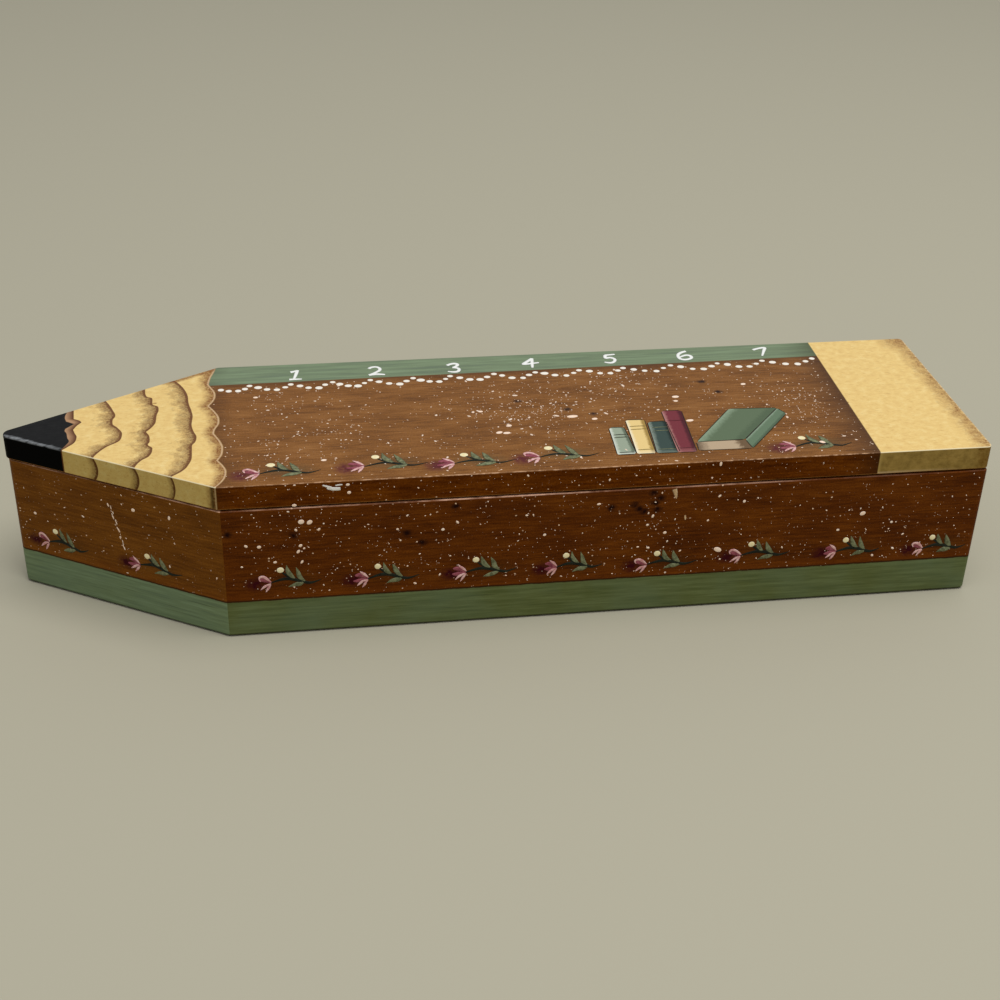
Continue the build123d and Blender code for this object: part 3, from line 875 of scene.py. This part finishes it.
STAINED_HEIGHT = (WALL_BAND + 0.8, WALL_TOP - 0.7)
LID_EDGE_HEIGHT = (0.8 - LID_THICKNESS, -0.6)
SPATTERED = (
    # face, from and to along it, from and to up it, how many, share of them that its left end keeps
    ("lid_top", -82.0, 109.5, -37.4, 24.0, 1600, 0.55),
    ("lid_front", -82.0, 108.0, *LID_EDGE_HEIGHT, 110, 1.0),
    ("lid_back", -108.0, 82.0, *LID_EDGE_HEIGHT, 120, 1.0),
    ("front", box_shoulder + 1.5, box_end - 1.5, *STAINED_HEIGHT, 720, 1.0),
    ("back", 1.5 - box_end, -box_shoulder - 1.5, *STAINED_HEIGHT, 700, 1.0),
    ("nose_front", 4.0 - facet_length, -2.0, *STAINED_HEIGHT, 280, 0.6),
    ("nose_back", 2.0, facet_length - 4.0, *STAINED_HEIGHT, 180, 1.0),
    ("end", -WALL_HALF + 1.5, WALL_HALF - 1.5, *STAINED_HEIGHT, 220, 1.0),
)
THICK_SPOT = 26.0             # one thicker patch of spatter to so many millimetres along a face
THICK_SPREAD = 7.5            # how far the drops of a thicker patch scatter
THICK_SHARE = 0.4             # share of the drops that fall in a thicker patch
SMALLEST_DROP = 0.07          # radius of the smallest and largest ordinary drop
LARGEST_DROP = 0.32
RARER = 22.0                  # how quickly drops get rarer with each millimetre of radius
LARGE_SHARE = 0.015           # share of the drops that are heavier than the ordinary ones
LARGE_DROP = (0.28, 0.44)     # radius of a heavier drop, from and to
LID_DROPS = 1.35              # how much larger the drops on the lid's top are

flung = random.Random(11)
for face, u_from, u_to, v_from, v_to, count, left_share in SPATTERED:
    spots = max(1, round((u_to - u_from) / THICK_SPOT))
    middles = [(flung.uniform(u_from, u_to), flung.uniform(v_from, v_to)) for _ in range(spots)]
    for _ in range(count):
        u, v = flung.uniform(u_from, u_to), flung.uniform(v_from, v_to)
        if flung.random() < THICK_SHARE:
            middle = flung.choice(middles)
            near_u = flung.gauss(middle[0], THICK_SPREAD)
            near_v = flung.gauss(middle[1], THICK_SPREAD)
            if u_from < near_u < u_to and v_from < near_v < v_to:
                u, v = near_u, near_v
        kept = left_share + (1 - left_share) * min(1.0, 2 * (u - u_from) / (u_to - u_from))
        if flung.random() > kept:
            continue
        radius = min(LARGEST_DROP, SMALLEST_DROP + flung.expovariate(RARER))
        if flung.random() < LARGE_SHARE:
            radius = flung.uniform(*LARGE_DROP)
        if face == "lid_top":
            radius *= LID_DROPS
        drop("spatter", face, u, v, radius, stretch=flung.uniform(1.0, 1.7), turn=flung.uniform(0, 3.1))

# The larger drops, where the photograph shows them: along and up the face, radius, stretch and turn
LARGE_DROPS = {
    "front": (
        (-60.9, 38.6, 0.78, 1.15, 0.2), (-58.5, 38.3, 0.68, 1.3, 0.6), (-73.2, 30.9, 0.5, 1.2, 0.1),
        (-76.9, 31.4, 0.4, 1.4, 2.4), (-61.4, 30.6, 0.45, 1.3, 0.6), (-62.1, 28.6, 0.42, 1.6, 0.9),
        (-60.4, 29.6, 0.3, 1.2, 0.5), (-61.2, 25.0, 0.35, 1.8, 1.0), (-68.9, 25.4, 0.4, 1.3, 0.2),
        (-62.6, 44.2, 0.45, 1.5, 0.0), (-20.2, 33.3, 0.45, 1.1, 0.3), (-33.4, 34.3, 0.35, 1.1, 0.0),
        (107.5, 30.4, 0.7, 1.3, 0.4), (63.2, 20.5, 0.8, 1.6, 2.7), (69.8, 37.1, 0.45, 1.1, 1.0),
        (117.2, 26.7, 0.4, 1.1, 0.0), (46.3, 27.7, 0.45, 1.2, 0.2), (100.4, 25.0, 0.4, 1.2, 0.0),
        (9.9, 29.4, 0.4, 1.2, 0.5),
    ),
    "lid_top": (
        (23.1, -6.5, 0.9, 1.9, 0.1), (29.6, -8.7, 0.7, 1.3, 0.2), (57.8, 3.2, 0.8, 1.4, 0.1),
        (57.2, 0.4, 0.6, 1.2, 0.0), (81.6, 9.7, 0.7, 1.2, 0.3), (58.4, -12.7, 0.75, 1.6, 0.2),
        (1.6, -14.9, 0.7, 1.6, 0.1), (-0.6, -14.4, 0.75, 1.4, 0.4), (2.9, -10.5, 0.6, 1.5, 0.2),
        (-4.4, -0.5, 0.6, 1.2, 0.0), (-53.4, -25.7, 0.6, 1.4, 0.1), (-72.4, 15.7, 0.6, 1.2, 0.0),
        (94.8, -30.2, 1.0, 1.15, 0.1),
    ),
    "lid_front": ((-47.3, -1.4, 0.4, 1.4, 0.1), (-47.0, -4.0, 0.5, 1.1, 0.2), (61.4, -1.1, 0.4, 1.8, 1.5)),
    "nose_front": ((-29.5, 36.5, 0.6, 1.1, 0.4), (-65.2, 26.4, 0.5, 1.0, 0.0), (-17.3, 36.9, 0.45, 1.6, 1.4)),
}
for face, drops in LARGE_DROPS.items():
    for u, v, radius, stretch, turn in drops:
        drop("spatter", face, u, v, radius, stretch, turn, kind="blob")

# A run of small drops down the nose, a scuff of three strokes and two smears
RUN_TOP = (-37.8, 36.4)
RUN_FOOT = (-33.9, 22.0)
RUN_DROPS = 22
for i in range(RUN_DROPS):
    share = i / (RUN_DROPS - 1)
    u = RUN_TOP[0] + share * (RUN_FOOT[0] - RUN_TOP[0]) + flung.uniform(-0.4, 0.4)
    v = RUN_TOP[1] + share * (RUN_FOOT[1] - RUN_TOP[1]) + flung.uniform(-0.3, 0.3)
    drop("spatter", "nose_front", u, v, flung.uniform(0.18, 0.38), stretch=1.8, turn=1.85)
stroke("scuffs", "lid_front", ((-54.4, -1.2), (-53.0, -1.8), (-51.8, -2.0)), (0.2, 0.45, 0.2), 0.0)
stroke("scuffs", "lid_front", ((-53.2, -2.2), (-51.6, -2.7), (-49.4, -2.6)), (0.3, 0.75, 0.5), 0.0)
stroke("scuffs", "lid_front", ((-50.8, -1.5), (-49.8, -1.3), (-48.8, -1.3)), (0.2, 0.35, 0.15), 0.0)
stroke("smears", "front", ((48.1, 42.6), (48.6, 41.0), (48.9, 39.4)), (0.75, 0.7, 0.15), 0.0)
stroke("smears", "front", ((52.0, 33.4), (52.3, 32.2), (52.2, 31.2)), (0.4, 0.5, 0.1), -0.03)


# Books painted on the lid, from left to right

BOOKS = {
    "pale_green_book": ((32.7, -14.9), (37.4, -14.9), (37.6, -31.6), (31.8, -31.7)),
    "cream_book": ((38.5, -10.7), (44.6, -10.9), (43.4, -31.9), (37.7, -31.7)),
    "dark_green_book": ((45.2, -12.5), (51.0, -12.3), (50.6, -32.0), (43.6, -31.8)),
    "maroon_book": ((51.0, -5.9), (57.3, -6.0), (55.8, -32.2), (50.0, -32.0)),
}
BAND_SHARES = {
    # how far down each upright book its bands are, and their paint
    "pale_green_book": ((0.28, 0.38, 0.93), "outlines"),
    "cream_book": ((0.2, 0.29, 0.88), "ochre_lines"),
    "dark_green_book": ((0.19, 0.3, 0.88), "leaves"),
    "maroon_book": ((0.25, 0.9), "maroon_lines"),
}
LYING_BOOK = (
    # its cover, its pages and its spine
    ((72.3, -6.6), (87.6, -7.4), (72.0, -26.2), (57.0, -26.3)),
    ((57.0, -26.3), (72.0, -26.3), (72.8, -31.9), (56.4, -31.6)),
    ((87.4, -7.6), (89.4, -11.2), (72.8, -31.9), (72.0, -26.3)),
)
UPRIGHT_ROUNDING = 1.2
LYING_ROUNDING = 1.0
PLATE_LIFT = 0.01
PLATE_THICKNESS = 0.03
PLATE_STEP = 0.008            # how much thicker each plate is than the one before
OUTLINE_END = 0.7             # how far short of a corner an outline stops
OUTLINE_HALF_WIDTHS = (0.1, 0.18, 0.12)
BAND_HALF_WIDTHS = (0.12, 0.24, 0.12)
LINE_LIFT = 0.1               # how far the lines on the books stand out from the lid


def flat_shape(bm, corners, material_index, lift, thickness, rounding):
    """A low plate of paint on the lid, its corners rounded, with a UV map across it."""
    uv = bm.loops.layers.uv.get("across") or bm.loops.layers.uv.new("across")
    matrix = FACES["lid_top"][1]
    vertices = [bm.verts.new(matrix @ Vector((u, v, lift))) for u, v in corners]
    face = bm.faces.new(vertices)
    face.material_index = material_index
    for loop, place in zip(face.loops, ((0, 1), (1, 1), (1, 0), (0, 0))):
        loop[uv].uv = place
    made = bmesh.ops.extrude_face_region(bm, geom=[face])
    raised = [v for v in made["geom"] if isinstance(v, bmesh.types.BMVert)]
    bmesh.ops.translate(bm, verts=raised, vec=(0, 0, thickness * MM))
    uprights = [e for v in raised for e in v.link_edges if e.other_vert(v) in vertices]
    bmesh.ops.bevel(
        bm, geom=uprights, offset=rounding * MM, offset_type="OFFSET", segments=3, profile=0.5,
        affect="EDGES", material=-1,
    )


def paint_books():
    """Four upright books and one lying on its side, as plates of paint with outlines and bands."""
    shades = {
        # left edge, middle and right edge, and how much of the first shows at the foot
        "pale_green_book": ("#dbe0d2", "#9ca892", "#66725f", 0.8),
        "cream_book": ("#fcf1d2", "#eed08a", "#a98a48", 0.6),
        "dark_green_book": ("#8f9a8c", "#3b4c46", "#222f2b", 0.5),
        "maroon_book": ("#b8807a", "#78323a", "#501e26", 0.4),
        "lying_cover": ("#8b9e83", "#617257", "#55664d", 0.0),
        "lying_pages": ("#7a6650", "#bda688", "#70593f", 0.0),
        "lying_spine": ("#93a68f", "#667c62", "#53664f", 0.0),
    }
    materials = [spine_paint(f"acrylic_{name}", *codes) for name, codes in shades.items()]
    plates = [*BOOKS.values(), *LYING_BOOK]
    bm = bmesh.new()
    for index, corners in enumerate(plates):
        rounding = UPRIGHT_ROUNDING if index < len(BOOKS) else LYING_ROUNDING
        flat_shape(bm, corners, index, PLATE_LIFT, PLATE_THICKNESS + PLATE_STEP * index, rounding)
    save_piece("painted_books", bm, "lid", materials)

    for corners in plates:
        looped = [*corners, corners[0]]
        for start, finish in zip(looped, looped[1:]):
            edge = Vector(finish) - Vector(start)
            cut = OUTLINE_END / edge.length
            line = nudged([Vector(start) + share * edge for share in (cut, 0.5, 1 - cut)], hand, 0.12)
            stroke("outlines", "lid_top", line, OUTLINE_HALF_WIDTHS, LINE_LIFT)
    for name, (shares, paint) in BAND_SHARES.items():
        (left, top), (right, _), (low_right, bottom), (low_left, _) = BOOKS[name]
        for share in shares:
            v = top + share * (bottom - top)
            u_left = left + share * (low_left - left) + 0.8
            u_right = right + share * (low_right - right) - 0.5
            band = [(u_left, v), ((u_left + u_right) / 2, v + 0.2), (u_right, v + 0.05)]
            stroke(paint, "lid_top", nudged(band, hand, 0.08), BAND_HALF_WIDTHS, LINE_LIFT)


paint_books()

PAINTS = {
    # the material's name, its dark and light shade and its roughness
    "stems": ("acrylic_dark_green", "#10130b", "#20261a", 0.5),
    "leaves": ("acrylic_sage", "#52563a", "#8a8e6a", 0.5),
    "rose_petals": ("acrylic_rose", "#7a3541", "#a65c66", 0.5),
    "pink_petals": ("acrylic_pale_pink", "#c47f7e", "#f3cdc5", 0.5),
    "berries": ("acrylic_straw", "#f4e2a8", "#fbf2cc", 0.45),
    "numerals": ("acrylic_white", "#f6f7f0", "#fdfdf8", 0.45),
    "dots": ("acrylic_warm_white", "#fbf0dc", "#fffaf0", 0.45),
    "spatter": ("acrylic_cream_spatter", "#ffdcbe", "#ffecd8", 0.5),
    "outlines": ("acrylic_outline", "#241f16", "#3a3528", 0.5),
    "ochre_lines": ("acrylic_ochre", "#7d6a34", "#9a8648", 0.5),
    "maroon_lines": ("acrylic_maroon", "#4e1c22", "#662a30", 0.5),
    "scuffs": ("white_scuff", "#dcd6cc", "#f6f2ea", 0.6),
    "smears": ("dried_glue_smear", "#b89468", "#d8bc92", 0.6),
}
lay_marks({name: brush_paint(*row) for name, row in PAINTS.items()})


# Finishes of the CAD pieces

def finish(names, material):
    """Gives CAD nodes their finish."""
    for name in names:
        for slot in nodes[name].material_slots:
            slot.material = material


finish(["lid_board"], lid_paint())
# The walls take the darker copies of the stain and green: painted shade for their upright faces
for face in ("front", "back", "end", "nose_front", "nose_back"):
    shades, greens = (SHADED_NOSE_STAIN, SHADED_NOSE_GREENS) if "nose" in face else (SHADED_FRONT_STAIN, SHADED_WALL_GREENS)
    finish([f"{face}_wall"], wall_paint(f"stained_basswood_{face}", face, shades, greens))
# The brad heads take the front's darker copy of the stain: painted shade
brad_cover = wall_paint("stained_over_brads", "front", SHADED_FRONT_STAIN, SHADED_WALL_GREENS, hollow=False)
finish(["corner_brads"], brad_cover)
finish(["bottom_panel"], bare_plywood())
leaf_names = [f"{side}_{body}_leaf" for side in ("left", "right") for body in ("box", "lid")]
finish([*leaf_names, "box_leaf_screws", "lid_leaf_screws"], stamped_brass())
finish(["bottom_brads", "left_hinge_pin", "right_hinge_pin"], drawn_steel())


# Floor, light and camera

FLOOR_SIZE = 12.0             # from the middle to each edge, in metres
WORLD_COLOUR = "#b9babc"
WORLD_STRENGTH = 0.8


def lay_floor():
    """A plain pale floor under the box."""
    bm = bmesh.new()
    bmesh.ops.create_grid(bm, x_segments=1, y_segments=1, size=FLOOR_SIZE)
    mesh = bpy.data.meshes.new("floor")
    bm.to_mesh(mesh)
    bm.free()
    material, tree, shader = new_material("plain_floor")
    surface(tree, shader, {"Base Color": "#b9b49f", "Roughness": 0.9, "Specular IOR Level": 0.1})
    mesh.materials.append(material)
    floor = bpy.data.objects.new("floor", mesh)
    bpy.context.scene.collection.objects.link(floor)


lay_floor()

world = bpy.data.worlds.new("soft_room")
world.use_nodes = True
room = world.node_tree
wire(room, room.nodes["Background"], {"Color": WORLD_COLOUR, "Strength": WORLD_STRENGTH})
bpy.context.scene.world = world


def soft_lamp(name, place, size, power):
    """A square softbox, turned to the box, with its place and size in metres and its power in watts."""
    data = bpy.data.lights.new(name, "AREA")
    data.size = size
    data.energy = power
    lamp = bpy.data.objects.new(name, data)
    lamp.location = place
    lamp.rotation_mode = "QUATERNION"
    lamp.rotation_quaternion = (-Vector(place)).to_track_quat("-Z", "Y")
    bpy.context.scene.collection.objects.link(lamp)


soft_lamp("overhead_softbox", (0.3, -0.3, 1.5), 1.1, 15.8)

LENS = 56.05
CAMERA_AZIMUTH = math.radians(-9.14)
CAMERA_ELEVATION = math.radians(31.0)
CAMERA_ROLL = math.radians(1.57)
CAMERA_PLACE = Vector((zero - 64.9, -418.8, 273.8)) * MM

camera_data = bpy.data.cameras.new("camera")
camera_data.lens = LENS
camera_data.clip_start = 0.01
camera = bpy.data.objects.new("camera", camera_data)
gaze = Matrix.Rotation(CAMERA_AZIMUTH, 4, "Z") @ Matrix.Rotation(math.pi / 2 - CAMERA_ELEVATION, 4, "X")
camera.matrix_world = Matrix.Translation(CAMERA_PLACE) @ gaze @ Matrix.Rotation(CAMERA_ROLL, 4, "Z")
bpy.context.scene.collection.objects.link(camera)
bpy.context.scene.camera = camera
bpy.context.scene.view_settings.view_transform = "Standard"
